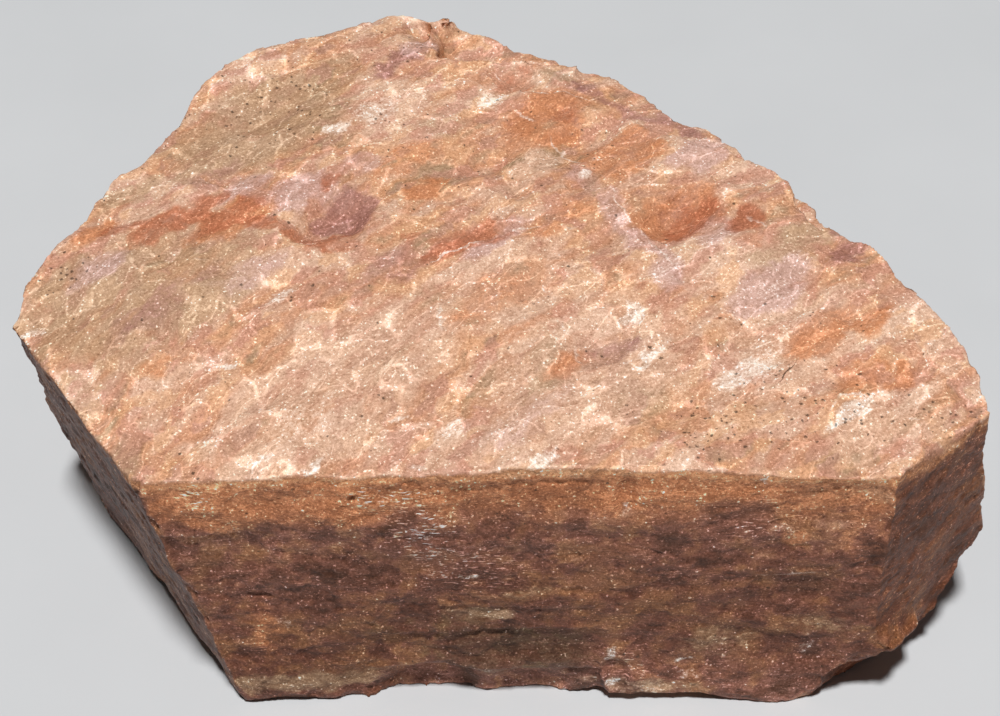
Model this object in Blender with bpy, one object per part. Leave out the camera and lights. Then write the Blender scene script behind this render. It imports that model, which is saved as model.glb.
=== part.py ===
"""Potassium feldspar crystal: one stubby monoclinic block, broken off along cleavage at the back.

Metres, +Z up. The origin is the centre of the base, on the surface that the crystal rests on.
The front crystal face looks along -Y. Sizes below are in millimetres until they reach the mesh.
"""

import math

import bmesh
import bpy
from mathutils import Matrix, Vector, noise

MM = 0.001

# Driving dimensions.
HEIGHT = 37.5  # base to the broad upper cleavage face
LAMELLA_AZIMUTH = 39.0  # direction of the lamellae in the upper face
GRID = 1.05  # pitch of the points that carry the relief
TRIANGLES = 8800  # in the finished solid
BLOCK_SIDE = 160.0  # the rough block that the faces are cut from
CUTTER_SIDE = 60.0  # a piece split off along cleavage
BASE_FLAT = 12.0  # radius of the flat middle of the base
SETTLING_ROUNDS = 4  # passes over the faces at a point until its shift suits them all

# Side faces: name, azimuth of the outward normal, lean (above 0 the face overhangs), and reach of
# the face from the Z axis at the height of the upper face.
SIDES = (
    ("front", 270.0, -1.2, 33.6),
    ("left", 214.3, 10.4, 48.4),
    ("left_corner", 177.0, -2.0, 48.4),
    ("left_back", 153.5, -2.0, 40.3),
    ("back_left", 135.0, -4.0, 41.7),
    ("back_shoulder", 114.0, -7.0, 41.2),
    ("back", 95.0, -9.0, 39.2),
    ("back_break", 56.0, -6.0, 29.5),
    ("right_back", 50.0, -5.0, 28.0),
    ("right_break", 32.0, -7.0, 31.3),
    ("right_slope", 24.0, -8.0, 36.1),
    ("right_end", 4.0, -10.4, 45.5),
    ("right", 310.8, -2.6, 49.9),
)

# Facets that close the block above and below: name, azimuth and rise of the outward normal, and a
# point in the plane.
FACETS = (
    ("top", 0.0, 90.0, (0.0, 0.0, HEIGHT)),
    ("top_front_left", 222.0, 83.0, (-22.0, -28.0, HEIGHT)),
    ("top_front_right", 330.0, 86.0, (28.0, -24.0, HEIGHT)),
    ("top_back", 97.0, 86.0, (-20.0, 2.0, HEIGHT)),
    ("top_back_right", 50.0, 85.0, (18.0, 10.0, HEIGHT)),
    ("underside_right", 309.0, -18.5, (33.7, -34.1, 1.3)),
    ("underside_end", 8.0, -38.0, (36.0, 0.0, 0.0)),
    ("underside_left", 165.0, -40.0, (-42.0, 0.0, 0.0)),
    ("underside_back", 75.0, -42.0, (4.0, 30.0, 0.0)),
)

# Pieces split off along cleavage: name, inner corner of the step, azimuth that the riser looks to,
# tilt of the tread, and whether what is gone lay above the tread or below it.
STEPS = (
    ("back_notch", (-6.6, 30.2, 33.0), 82.0, 10.0, "above"),
    ("rim_ledge", (6.2, 24.8, 35.8), 57.0, 9.0, "above"),
    ("right_notch", (33.4, -0.2, 34.0), 113.0, 5.0, "above"),
    ("back_shelf", (-26.0, 31.6, 21.0), 122.0, 5.0, "above"),
    ("right_shelf", (16.0, 20.4, 19.0), 60.0, 6.0, "above"),
    ("base_step", (10.6, -33.2, 5.2), 272.0, -2.0, "below"),
)

# Shallow hollows that shelly fractures left in the upper face: name, centre in plan, radius along
# the lamellae, radius across them, and depth.
HOLLOWS = (
    ("mauve", (-17.0, 2.2), 6.5, 4.2, 1.3),
    ("orange_right", (18.6, 2.6), 5.5, 3.4, 1.1),
    ("orange_back", (9.5, 16.5), 7.0, 3.4, 1.2),
    ("shoulder", (-3.0, 12.5), 8.0, 4.5, 0.7),
    ("shell", (11.0, -16.0), 6.0, 4.0, 0.5),
)

# Chips knocked off the edges: name, centre, radius and depth.
CHIPS = (
    ("base_left", (-6.8, -34.0, 0.0), 7.5, 2.0),
    ("base_middle", (3.0, -34.0, 0.0), 6.0, 1.4),
    ("rim_right", (43.0, -30.5, 36.5), 3.5, 0.4),
    ("rim_left", (-40.0, -25.0, 36.5), 3.0, 0.7),
    ("front_rim", (14.5, -33.8, 36.8), 2.2, 0.6),
    ("notch_lip", (-5.8, 37.2, 38.4), 7.0, 3.4),
    ("right_lip", (38.2, 1.8, 37.6), 4.2, 2.0),
)


def clear_scene():
    for obj in list(bpy.data.objects):
        bpy.data.objects.remove(obj)


def direction(azimuth, rise=0.0):
    """Unit vector at this azimuth in plan and this rise above the horizontal, in degrees."""
    a, r = math.radians(azimuth), math.radians(rise)
    return Vector((math.cos(a) * math.cos(r), math.sin(a) * math.cos(r), math.sin(r)))


def planes():
    """(point, outward normal) of each face and facet of the block."""
    up = Vector((0, 0, HEIGHT))
    sides = [(direction(a) * reach + up, direction(a, -lean)) for _, a, lean, reach in SIDES]
    facets = [(Vector(point), direction(a, rise)) for _, a, rise, point in FACETS]
    base = (Vector((0, 0, 0)), Vector((0, 0, -1)))
    return [*sides, *facets, base]


def cut_face(bm, point, normal):
    """Cuts away what lies beyond the plane and closes the cut with one flat face."""
    cut = bmesh.ops.bisect_plane(
        bm,
        geom=bm.verts[:] + bm.edges[:] + bm.faces[:],
        plane_co=point,
        plane_no=normal,
        clear_outer=True,
    )
    rim = [item for item in cut["geom_cut"] if isinstance(item, bmesh.types.BMEdge)]
    if rim:
        bmesh.ops.contextual_create(bm, geom=rim)


def new_object(name, bm):
    mesh = bpy.data.meshes.new(name)
    bm.to_mesh(mesh)
    bm.free()
    obj = bpy.data.objects.new(name, mesh)
    bpy.context.scene.collection.objects.link(obj)
    return obj


def crystal_block():
    """The flat-faced block, in millimetres."""
    bm = bmesh.new()
    bmesh.ops.create_cube(bm, size=BLOCK_SIDE)
    for point, normal in planes():
        cut_face(bm, point, normal)
    bmesh.ops.recalc_face_normals(bm, faces=bm.faces)
    return new_object("block", bm)


def split_off(block, name, corner, azimuth, tilt, side):
    """Takes a cleavage piece off the block: a box with one corner at the step's inner corner."""
    half = CUTTER_SIDE / 2
    lift = half if side == "above" else -half
    bm = bmesh.new()
    bmesh.ops.create_cube(bm, size=CUTTER_SIDE)
    bmesh.ops.translate(bm, vec=(half, -half, lift), verts=bm.verts)
    turn = Matrix.Rotation(math.radians(azimuth), 4, "Z") @ Matrix.Rotation(math.radians(tilt), 4, "Y")
    bmesh.ops.transform(bm, matrix=Matrix.Translation(corner) @ turn, verts=bm.verts)
    cutter = new_object(name, bm)
    boolean = block.modifiers.new(name, "BOOLEAN")
    boolean.operation = "DIFFERENCE"
    boolean.object = cutter
    return cutter


def broken_block():
    """The block with the cleavage steps taken off, as a bmesh in millimetres."""
    block = crystal_block()
    cutters = [split_off(block, *step) for step in STEPS]
    graph = bpy.context.evaluated_depsgraph_get()
    bm = bmesh.new()
    bm.from_object(block, graph)
    for obj in (block, *cutters):
        bpy.data.objects.remove(obj)
    return bm


def slice_on_grid(bm):
    """Cuts every face on a regular grid, which leaves the form as it is and gives the relief its points."""
    for axis in range(3):
        normal = Vector((0, 0, 0))
        normal[axis] = 1
        low = min(v.co[axis] for v in bm.verts)
        high = max(v.co[axis] for v in bm.verts)
        for i in range(1, math.ceil((high - low) / GRID)):
            place = normal * (low + i * GRID)
            geom = bm.verts[:] + bm.edges[:] + bm.faces[:]
            bmesh.ops.bisect_plane(bm, geom=geom, plane_co=place, plane_no=normal, dist=0.02)
    bmesh.ops.triangulate(bm, faces=bm.faces)
    bmesh.ops.remove_doubles(bm, verts=bm.verts, dist=0.02)


def ramp(value, low, high):
    """0 at low, 1 at high, smooth between."""
    t = min(1.0, max(0.0, (value - low) / (high - low)))
    return t * t * (3 - 2 * t)


def terraces(value, rise):
    """value rounded to flat levels, a rise apart, with short ramps between them."""
    level = math.floor(value / rise)
    return (level + ramp(value / rise - level, 0.4, 0.6)) * rise


def along_lamellae(co):
    """(distance along the lamellae, distance across them) in plan."""
    along = direction(LAMELLA_AZIMUTH)
    across = direction(LAMELLA_AZIMUTH + 90)
    return co.x * along.x + co.y * along.y, co.x * across.x + co.y * across.y


def hollow_depth(co):
    depth = 0.0
    u, v = along_lamellae(co)
    for _, centre, long_radius, short_radius, deepest in HOLLOWS:
        u0, v0 = along_lamellae(Vector((*centre, 0)))
        wobble = 1 + 0.25 * noise.noise(co / 5)
        away = math.hypot((u - u0) / long_radius, (v - v0) / short_radius) * wobble
        depth = max(depth, deepest * ramp(1 - away, 0.0, 0.55))
    return depth


def top_relief(co):
    """Low ridges along the lamellae, in shallow terraces, with the hollows. Inwards is below 0."""
    u, v = along_lamellae(co)
    ridge = 0.22 * noise.noise(Vector((u / 13, v / 1.9, 3.1)))
    swell = 0.9 * noise.noise(Vector((u / 26, v / 8.5, 7.7)))
    return ridge + terraces(swell, 0.3) - hollow_depth(co) - 0.35


def front_relief(co):
    """Fine growth steps that run level across the side crystal faces."""
    ripple = 0.16 * noise.noise(Vector((co.x / 11, co.y / 11, co.z / 1.7)))
    swell = 0.8 * noise.noise(Vector((co.x / 17, co.y / 17, co.z / 6.5 + 4.0)))
    return ripple + terraces(swell, 0.32) - 0.3


def fracture_relief(co):
    """Hackly steps of a broken surface, one cleavage level after another."""
    coarse = 2.6 * noise.noise(co / 12 + Vector((5, 0, 0)))
    fine = 0.8 * noise.noise(co / 4.6)
    return terraces(coarse, 0.8) + terraces(fine, 0.35) - 0.2


def base_relief(co):
    """Hollows in the underside, outside the flat middle that the crystal rests on."""
    hollow = ramp(noise.noise(co / 14 + Vector((0, 0, 9))), 0.05, 0.55)
    return -1.3 * hollow * ramp(co.xy.length, BASE_FLAT, BASE_FLAT + 8)


def relief_of(co, normal):
    """How far a face with this normal stands out at this point, in millimetres."""
    if normal.z < -0.98:
        return base_relief(co)
    if normal.z > 0.98 and co.z > HEIGHT - 5:
        return top_relief(co)
    for name, azimuth, lean, _ in SIDES:
        flat = name in ("front", "left", "right")
        if flat and normal.dot(direction(azimuth, -lean)) > 0.995:
            return front_relief(co)
    return fracture_relief(co)


def edge_wear(co, faces):
    """How far an edge is knocked back here: a little all along, more at the chips."""
    depths = sorted((point - co).dot(normal) for point, normal in faces)
    near = 1 - ramp(depths[1], 0.0, 1.6)
    nick = ramp(noise.noise(co / 3.4 + Vector((0, 6, 0))), 0.1, 0.6)
    worn = near * (0.1 + 0.8 * nick)
    for _, centre, radius, depth in CHIPS:
        away = (co - Vector(centre)).length / radius
        worn = max(worn, depth * ramp(1 - away, 0.0, 0.6))
    return worn


def joint_shift(vert):
    """The shift that gives each face that meets at this point the relief that it asks for."""
    wanted = [(face.normal, relief_of(vert.co, face.normal)) for face in vert.link_faces]
    shift = Vector((0, 0, 0))
    for _ in range(SETTLING_ROUNDS):
        for normal, relief in wanted:
            shift += normal * (relief - normal.dot(shift)) * 0.7
    return shift


def carve(bm):
    """Moves each point by the relief of the faces that meet there."""
    bm.normal_update()
    faces = planes()
    moved = []
    for vert in bm.verts:
        shift = joint_shift(vert)
        on_base = vert.co.z < 0.01
        worn = vert.normal * edge_wear(vert.co, faces)
        place = vert.co + shift - (worn if not on_base else Vector((worn.x, worn.y, 0)))
        place.z = max(place.z, 0.0)
        moved.append(place)
    for vert, place in zip(bm.verts, moved):
        vert.co = place
    above = [v for v in bm.verts if v.co.z > 0.01]
    bmesh.ops.smooth_vert(bm, verts=above, factor=0.4, use_axis_x=True, use_axis_y=True, use_axis_z=True)


def stand_on_origin(bm):
    """Puts the centre of the outer box over the origin and the lowest point on the ground."""
    low = Vector([min(v.co[i] for v in bm.verts) for i in range(3)])
    high = Vector([max(v.co[i] for v in bm.verts) for i in range(3)])
    middle = (low + high) / 2
    bmesh.ops.translate(bm, vec=(-middle.x, -middle.y, -low.z), verts=bm.verts)
    bmesh.ops.scale(bm, vec=(MM, MM, MM), verts=bm.verts)


def feldspar():
    """Salmon feldspar with a dull to glassy lustre."""
    material = bpy.data.materials.new("potassium_feldspar")
    material.use_nodes = True
    shader = material.node_tree.nodes["Principled BSDF"]
    shader.inputs["Base Color"].default_value = (0.62, 0.36, 0.24, 1)
    shader.inputs["Roughness"].default_value = 0.45
    shader.inputs["Metallic"].default_value = 0.0
    return material


def main():
    clear_scene()
    bm = broken_block()
    slice_on_grid(bm)
    carve(bm)
    stand_on_origin(bm)
    faces = len(bm.faces)
    crystal = new_object("crystal", bm)
    crystal.data.materials.append(feldspar())
    fewer = crystal.modifiers.new("fewer_triangles", "DECIMATE")
    fewer.ratio = TRIANGLES / faces
    collection = bpy.data.collections.new("potassium_feldspar_crystal")
    bpy.context.scene.collection.children.link(collection)
    bpy.context.scene.collection.objects.unlink(crystal)
    collection.objects.link(crystal)


main()
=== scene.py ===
"""Potassium feldspar crystal on a pale table: its fine surface, its colours and a plain studio.

The solid from the frame gives the form. The surface made here follows it with cells of about a
third of a millimetre, so that lamellae, cleavage steps and chips are real shapes. Sizes and places
below are in millimetres in the frame of the solid: Z up, -Y out of the front crystal face.
"""

import itertools
import math
from types import SimpleNamespace

import bmesh
import bpy
import numpy as np
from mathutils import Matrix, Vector


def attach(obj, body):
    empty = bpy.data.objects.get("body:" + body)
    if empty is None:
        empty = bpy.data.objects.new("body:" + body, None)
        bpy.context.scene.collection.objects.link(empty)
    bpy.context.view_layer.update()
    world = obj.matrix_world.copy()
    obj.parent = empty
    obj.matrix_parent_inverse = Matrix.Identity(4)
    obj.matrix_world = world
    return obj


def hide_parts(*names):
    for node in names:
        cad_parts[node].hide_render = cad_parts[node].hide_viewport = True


MM = 0.001

LAMELLA_AZIMUTH = math.radians(44.0)
LAMELLA_BEND = 0.0025  # how fast the lamellae curve away from that azimuth
FRONT_AZIMUTH = math.radians(270.0)
LEFT_AZIMUTH = math.radians(214.3)
RIGHT_AZIMUTH = math.radians(310.8)
GROWTH_AZIMUTHS = (FRONT_AZIMUTH, LEFT_AZIMUTH, RIGHT_AZIMUTH)

# The mesh and its relief.
CELL = 0.33  # of the even mesh that carries the relief
TRIANGLES = 194000  # in the finished surface
RISER = 0.12  # half the width of a cleavage step's slope, over the rise between two levels
SKIN = 0.12  # taken off everywhere, so that the relief keeps to the solid's box
EDGE_WEAR = 0.9  # taken off the sharpest edges besides
LEVELLING = 0.8  # share of the growth faces' unevenness that is taken out

# How far the soft edge of a patch or band of colour reaches past its radius or half width.
TOP_PATCH_REACH = 1.25
TOP_BAND_REACH = 1.6
FRONT_PATCH_REACH = 1.2

# The finest grain and spots.
THREAD = 1.0  # width of a thread of grain, in cells of the stored grain places
SUGAR = 0.27  # width of a sugary grain
# Painted glints: bright flakes of colour that stand in for glints of light.
PAINTED_GLINT_CELL = 0.36  # holds one bright flake at most
SPECK_CELL = 0.52  # holds one dark speck at most
FRAY_WIDTH = 0.20  # of the waves in the outline of a flake or speck
FRAY_DEPTH = 0.30
DASH_SPACE = (1.1, 1.1, 0.20)  # stretches the bright dashes of the front face level
BUMP_DEPTH = 0.22
MINERAL_IOR = 1.53
MINERAL_SHINE = 0.12  # a polished face has 0.5, and this one is torn

# The studio, in metres and degrees.
TABLE_SIDE = 3.0
CARD_TINTS = ((0.56, 0.57, 0.58, 1.0), (0.62, 0.63, 0.64, 1.0))
CARD_CLOUD = 0.03  # width of the card's cloudy patches
CARD_ROUGHNESS = 0.85
CAMERA_ELEVATION = 47.0
CAMERA_DISTANCE = 0.236
CAMERA_LENS = 76.0
CAMERA_TARGET = Vector((-0.0004, -0.0032, 0.016))
LAMP_PLACE = Vector((-0.04, -0.50, 2.0))
LAMP_SIDE = 0.20
LAMP_POWER = 46.0
ROOM_LIGHT = 0.04

# Linear colours of the mineral.
COLOURS = {
    "peach": (0.61, 0.350, 0.232),
    "pale_peach": (0.70, 0.445, 0.310),
    "apricot": (0.61, 0.297, 0.170),
    "tan": (0.44, 0.275, 0.163),
    "orange": (0.54, 0.205, 0.090),
    "rust": (0.42, 0.135, 0.066),
    "mauve": (0.235, 0.093, 0.060),
    "russet": (0.180, 0.056, 0.020),
    "lavender": (0.540, 0.330, 0.280),
    # chalky white, and the white of painted glints
    "milk": (0.90, 0.74, 0.62),
    "sand": (0.32, 0.138, 0.064),
    "umber": (0.120, 0.050, 0.030),
    "moss": (0.100, 0.072, 0.036),
    "speck": (0.060, 0.034, 0.020),
    "rose": (0.61, 0.300, 0.225),
    "honey": (0.66, 0.345, 0.175),
    "plum": (0.32, 0.138, 0.115),
    # painted glow of light through the edge, below the rim
    "rim_glow_amber": (0.62, 0.27, 0.12),
}

# The stone's own colour as its mottling goes from low to high, on the upper face and on the sides.
TOP_GROUND = ((0.42, "tan"), (0.58, "apricot"), (0.70, "peach"), (0.86, "pale_peach"))
SIDE_GROUND = ((0.38, "umber"), (0.62, "mauve"), (0.88, "sand"))

# How much of each patch's colour shows at its middle, in the order that they are laid down.
PATCH_DEPTHS = {
    "pale_peach": 0.7,
    "tan": 0.75,
    "orange": 0.88,
    "moss": 0.7,
    "umber": 0.7,
    "mauve": 0.62,
    "plum": 0.8,
    "lavender": 0.75,
    "rust": 0.88,
}

# A change of lightness moves the three channels by these powers, so that the hue stays.
HUE_POWERS = (0.85, 1.0, 1.15)
LIGHTEST = (0.97, 0.97, 0.97)

# Patches of colour on the upper face: centre in plan, radius along the lamellae, radius across
# them, and strength.
TOP_PATCHES = {
    "rust": [
        ((-34.3, -2.7), 7.0, 1.6, 0.8),
        ((-29.0, -2.4), 5.0, 1.2, 0.8),
        ((-17.9, -6.0), 4.0, 1.0, 1.0),
        ((-18.5, 4.0), 2.2, 1.2, 0.9),
        ((-4.5, -6.0), 5.5, 1.5, 0.8),
        ((19.5, -2.1), 4.6, 2.4, 1.0),
        ((24.9, -2.8), 3.4, 1.7, 1.0),
        ((6.6, 15.5), 3.2, 1.2, 0.7),
        ((1.6, 22.3), 4.2, 2.0, 0.6),
    ],
    "orange": [
        ((-27.6, -1.8), 8.0, 2.6, 0.8),
        ((-42.5, -4.2), 3.0, 1.6, 0.9),
        ((-10.7, 7.5), 5.0, 2.6, 0.55),
        ((-8.2, 3.2), 3.2, 1.8, 0.9),
        ((4.6, 15.5), 6.0, 4.6, 0.9),
        ((17.7, -1.0), 7.0, 3.6, 0.9),
        ((-6.9, 29.1), 2.6, 1.6, 0.8),
        ((6.2, -23.7), 4.0, 2.2, 0.7),
        ((31.7, -18.9), 5.6, 2.4, 0.7),
        ((37.2, -17.1), 3.4, 1.8, 0.8),
        ((34.8, -25.1), 4.2, 2.4, 0.6),
        ((38.7, -24.7), 2.4, 1.4, 0.8),
        ((-0.4, -13.3), 8.0, 3.0, 0.45),
        ((6.6, -1.4), 7.0, 2.2, 0.6),
        ((12.5, 8.0), 8.0, 4.0, 0.7),
        ((-18.5, -14.7), 7.0, 2.2, 0.4),
        ((-33.0, -22.0), 6.0, 2.0, 0.4),
    ],
    "plum": [
        ((-16.7, -0.9), 3.8, 3.0, 1.3),
        ((-15.4, -3.3), 2.8, 1.4, 1.0),
        ((-30.8, 4.8), 4.4, 1.8, 0.5),
        ((-12.5, 25.1), 4.2, 1.6, 0.8),
        ((10.5, -21.3), 3.8, 2.4, 0.6),
        ((35.8, -7.5), 3.6, 1.6, 0.9),
        ((-35.4, -16.8), 6.0, 1.8, 0.5),
        ((-31.7, -12.3), 6.0, 1.6, 0.5),
        ((-12.6, -10.4), 9.0, 2.0, 0.5),
        ((-8.0, -8.4), 6.0, 1.4, 0.5),
    ],
    "lavender": [
        ((-41.9, -10.1), 4.0, 2.0, 0.8),
        ((-27.8, 2.9), 4.4, 1.8, 0.8),
        ((-9.6, 29.1), 3.2, 2.0, 0.8),
        ((-0.7, -5.5), 5.4, 1.4, 0.9),
        ((21.7, -4.5), 3.2, 2.2, 0.8),
        ((21.2, 8.2), 5.0, 2.4, 0.8),
        ((27.4, -12.6), 6.0, 3.0, 0.9),
        ((-20.6, 1.9), 5.4, 2.4, 0.9),
        ((-26.0, -11.0), 5.0, 1.6, 0.5),
        ((2.0, -30.0), 9.0, 3.0, 0.4),
    ],
    "tan": [
        ((-27.3, 13.8), 13.0, 7.0, 1.1),
        ((-36.0, -13.0), 15.0, 9.0, 0.85),
        ((-45.0, -11.1), 5.0, 2.2, 1.0),
        ((-46.5, -16.1), 4.0, 2.6, 0.8),
        ((-6.8, 13.5), 4.4, 3.0, 0.4),
        ((30.1, -6.7), 6.0, 3.0, 0.7),
        ((-40.0, 2.0), 5.0, 2.0, 0.9),
        ((-38.0, -24.0), 7.0, 3.0, 0.5),
        ((-20.0, 22.0), 7.0, 3.0, 0.7),
    ],
    "pale_peach": [
        ((-16.0, -27.0), 17.0, 8.0, 0.9),
        ((8.0, -25.0), 14.0, 9.0, 0.9),
        ((-2.0, -14.0), 12.0, 6.0, 0.6),
        ((-14.0, 16.0), 8.0, 5.0, 0.7),
        ((28.0, -20.0), 10.0, 7.0, 0.7),
        ((36.0, -31.0), 8.0, 3.0, 0.9),
        ((20.0, 2.0), 8.0, 3.0, 0.5),
        ((3.6, 7.6), 4.0, 2.2, 1.3),
        ((-11.0, 5.6), 3.0, 1.6, 0.8),
    ],
    # Most white patches are chalky; those near y -36 along the front rim and the one at the left corner are
    # painted glints.
    "milk": [
        ((-23.2, -36.1), 2.0, 0.5, 0.9),
        ((-18.0, -36.3), 2.8, 0.5, 1.0),
        ((-8.6, -36.3), 1.2, 0.6, 0.9),
        ((4.1, -35.8), 2.2, 0.8, 0.9),
        ((17.0, -36.6), 3.0, 0.6, 0.6),
        ((8.7, 5.1), 1.2, 0.9, 1.0),
        ((33.5, -29.6), 5.0, 0.9, 0.9),
        ((-47.4, -18.0), 1.6, 1.0, 0.8),
        ((-14.5, 15.8), 3.6, 2.4, 0.75),
        ((-18.2, 12.8), 1.8, 1.4, 0.9),
        ((-1.3, 18.1), 3.2, 1.4, 0.7),
        ((24.0, -24.3), 4.0, 2.6, 0.9),
        ((26.4, -20.2), 3.0, 2.4, 0.6),
        ((27.4, -12.4), 3.0, 1.4, 0.5),
        ((-27.2, -23.2), 0.9, 0.8, 1.2),
        ((-23.2, -14.7), 3.0, 0.8, 0.85),
        ((-30.5, -19.1), 1.6, 1.0, 0.7),
        ((12.7, -16.2), 2.2, 1.4, 0.9),
        ((-9.7, -30.4), 1.4, 0.8, 0.9),
        ((-4.9, -31.9), 2.2, 1.2, 0.7),
        ((13.9, -22.8), 2.2, 0.9, 0.9),
        ((10.4, 8.0), 1.5, 0.8, 0.6),
        ((-18.0, -30.0), 6.0, 2.4, 0.5),
        ((0.0, -26.0), 10.0, 3.0, 0.35),
        ((17.0, -10.0), 3.0, 1.2, 0.5),
    ],
}

# Bands of colour along a line in the upper face: points in plan, half width and strength.
TOP_BANDS = {
    "lavender": [
        (((8.0, 5.6), (10.8, 0.8), (13.0, -4.4), (16.4, -8.0), (17.2, -12.0)), 1.3, 0.8),
        (((-26.0, 1.0), (-20.0, 3.4), (-14.6, 7.0)), 1.2, 0.6),
    ],
    "plum": [
        (((8.0, 21.2), (10.8, 18.9), (14.0, 16.8), (17.3, 15.5), (21.5, 12.1)), 1.0, 0.8),
        (((31.3, 0.0), (35.7, -7.6), (38.4, -14.8)), 0.7, 0.5),
    ],
    "moss": [
        (((4.4, 23.6), (6.4, 22.2), (9.0, 20.6)), 0.9, 0.5),
    ],
    "rust": [
        (((-41.0, -4.4), (-35.4, -2.6), (-28.6, -2.2), (-23.6, -4.4), (-16.4, -6.6)), 1.0, 0.75),
        (((-10.0, -5.6), (-3.8, -6.4), (0.6, -4.4)), 0.8, 0.6),
    ],
}

# Thin pale seams in the upper face: points in plan, half width.
TOP_SEAMS = (
    (((1.6, 17.0), (4.8, 13.4), (7.4, 8.4), (9.0, 6.4)), 0.16),
    (((4.6, -12.9), (6.6, -19.2), (7.4, -22.2), (9.8, -23.4), (14.6, -22.4), (17.4, -18.0)), 0.22),
    (((-6.2, -15.0), (-6.2, -20.0)), 0.14),
    (((-6.9, -8.6), (-4.6, -6.4), (1.6, -4.2), (8.2, -3.2)), 0.14),
    (((25.2, -1.2), (27.0, -3.6)), 0.16),
    (((-23.8, -13.9), (-19.0, -12.2), (-17.4, -13.6)), 0.15),
    (((10.0, 6.0), (12.4, -0.4), (14.6, -5.0), (17.4, -9.4)), 0.14),
    (((29.6, -30.8), (33.6, -27.0), (39.0, -30.2)), 0.16),
    (((-33.0, -10.0), (-28.4, -7.4)), 0.12),
    (((-1.0, 23.6), (3.4, 20.0), (8.6, 18.8)), 0.12),
)

# Hair cracks in the upper face, drawn in colour alone, in the same terms.
TOP_CRACKS = (
    (((27.0, -25.4), (27.6, -24.4), (28.3, -23.6)), 0.07),
    (((-22.0, 9.4), (-20.4, 10.6)), 0.05),
)

# Clusters of dark specks on the upper face: centre in plan, radius, and strength.
SPECK_CLUSTERS = (
    ((-45.0, -11.1), 5.0, 0.8),
    ((18.7, -33.0), 6.0, 1.0),
    ((29.4, -30.5), 6.0, 0.9),
    ((42.2, -29.3), 5.0, 1.0),
    ((25.9, -24.9), 4.0, 0.9),
    ((-11.3, 11.6), 6.0, 0.7),
    ((-38.3, 8.8), 4.0, 0.7),
    ((-23.7, 18.1), 8.0, 0.6),
    ((33.3, -28.2), 6.0, 0.7),
    ((31.4, -16.8), 1.5, 1.0),
    ((-31.0, 15.0), 10.0, 0.5),
    ((-12.0, 27.0), 5.0, 0.8),
    ((-4.0, 9.0), 5.0, 0.5),
    ((10.4, 8.6), 3.0, 0.6),
    ((5.0, 16.0), 4.0, 0.4),
)

# Patches of colour on the front face: centre as x and height, half width, half height, strength.
FRONT_PATCHES = {
    "orange": [
        ((-27.0, 32.0), 9.0, 3.8, 1.0),
        ((-16.0, 33.0), 6.0, 4.2, 1.0),
        ((-3.0, 34.0), 12.0, 3.4, 0.8),
        ((9.0, 33.6), 7.0, 3.4, 0.9),
        ((18.0, 34.5), 10.0, 3.2, 0.9),
        ((29.0, 33.0), 8.0, 3.4, 0.8),
        ((28.3, 26.9), 1.6, 1.4, 0.9),
        ((-24.0, 12.0), 2.4, 6.0, 0.4),
        ((36.0, 28.0), 5.0, 7.0, 0.35),
        ((20.0, 5.0), 8.0, 2.0, 0.3),
    ],
    "tan": [
        ((5.0, 37.0), 9.0, 1.0, 1.0),
        ((-20.6, 3.4), 10.0, 1.8, 0.9),
        ((-2.2, 14.9), 4.5, 1.0, 0.9),
        ((32.0, 33.6), 6.0, 1.6, 0.6),
        ((14.0, 2.6), 8.0, 1.6, 0.5),
        ((22.0, 10.0), 5.0, 3.0, 0.5),
        ((32.0, 13.0), 4.0, 2.0, 0.4),
        ((2.0, 19.0), 4.0, 1.6, 0.4),
    ],
    "moss": [
        ((0.5, 8.0), 12.0, 6.0, 0.6),
        ((-8.0, 13.0), 9.0, 2.6, 0.4),
    ],
    "umber": [
        ((30.0, 19.2), 3.2, 1.8, 1.0),
        ((-23.1, 11.2), 1.6, 1.0, 0.9),
        ((-11.0, 24.0), 6.0, 3.0, 0.4),
        ((-12.5, 12.0), 8.0, 0.35, 0.8),
        ((3.7, 14.0), 3.6, 0.35, 1.0),
        ((-32.0, 23.0), 7.0, 2.8, 0.5),
    ],
    "mauve": [
        ((21.9, 30.7), 4.6, 3.4, 0.9),
        ((-5.0, 24.0), 6.0, 4.0, 0.6),
        ((12.0, 22.0), 8.0, 6.0, 0.5),
    ],
    "glints": [
        ((-11.5, 33.2), 4.0, 2.2, 1.0),
        ((-8.0, 27.4), 5.0, 5.0, 1.0),
        ((-3.0, 22.0), 7.0, 4.0, 0.8),
        ((-29.0, 33.6), 3.0, 2.0, 0.6),
        ((25.0, 30.0), 6.0, 4.0, 0.5),
        ((-31.0, 22.0), 3.0, 6.0, 0.4),
        ((12.0, 7.0), 4.0, 4.0, 0.4),
    ],
    "milk": [
        ((-12.3, 32.9), 2.8, 0.9, 0.5),
        ((-8.6, 27.8), 2.4, 1.6, 0.45),
        ((10.9, 3.0), 1.6, 0.7, 1.1),
        ((11.4, 7.5), 0.8, 2.4, 0.8),
        ((18.6, 7.2), 1.4, 0.35, 1.1),
        ((19.2, 4.6), 2.4, 1.0, 0.5),
        ((31.0, 9.0), 1.0, 2.2, 0.5),
        ((-1.0, 4.0), 2.6, 0.7, 0.5),
        ((27.8, 21.4), 4.0, 0.4, 0.7),
        ((12.0, 31.0), 0.5, 1.6, 0.8),
        ((-22.0, 14.0), 2.0, 1.2, 0.5),
        ((-4.0, 21.5), 2.6, 0.5, 0.8),
        ((24.4, 36.0), 0.4, 1.8, 0.9),
    ],
}

# Painted light and shade on the front face: how much lighter it is painted at each height, in doublings,
# and how much darker it is painted low down at its left end.
FRONT_PAINTED_SHADING = (
    (0.0, 0.8),
    (4.0, 0.25),
    (9.0, -0.1),
    (16.0, -0.25),
    (21.0, -0.1),
    (27.0, 0.25),
    (32.0, 0.2),
    (37.0, 0.2),
)
LOW_LEFT_PAINTED_SHADE = -0.7

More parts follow.
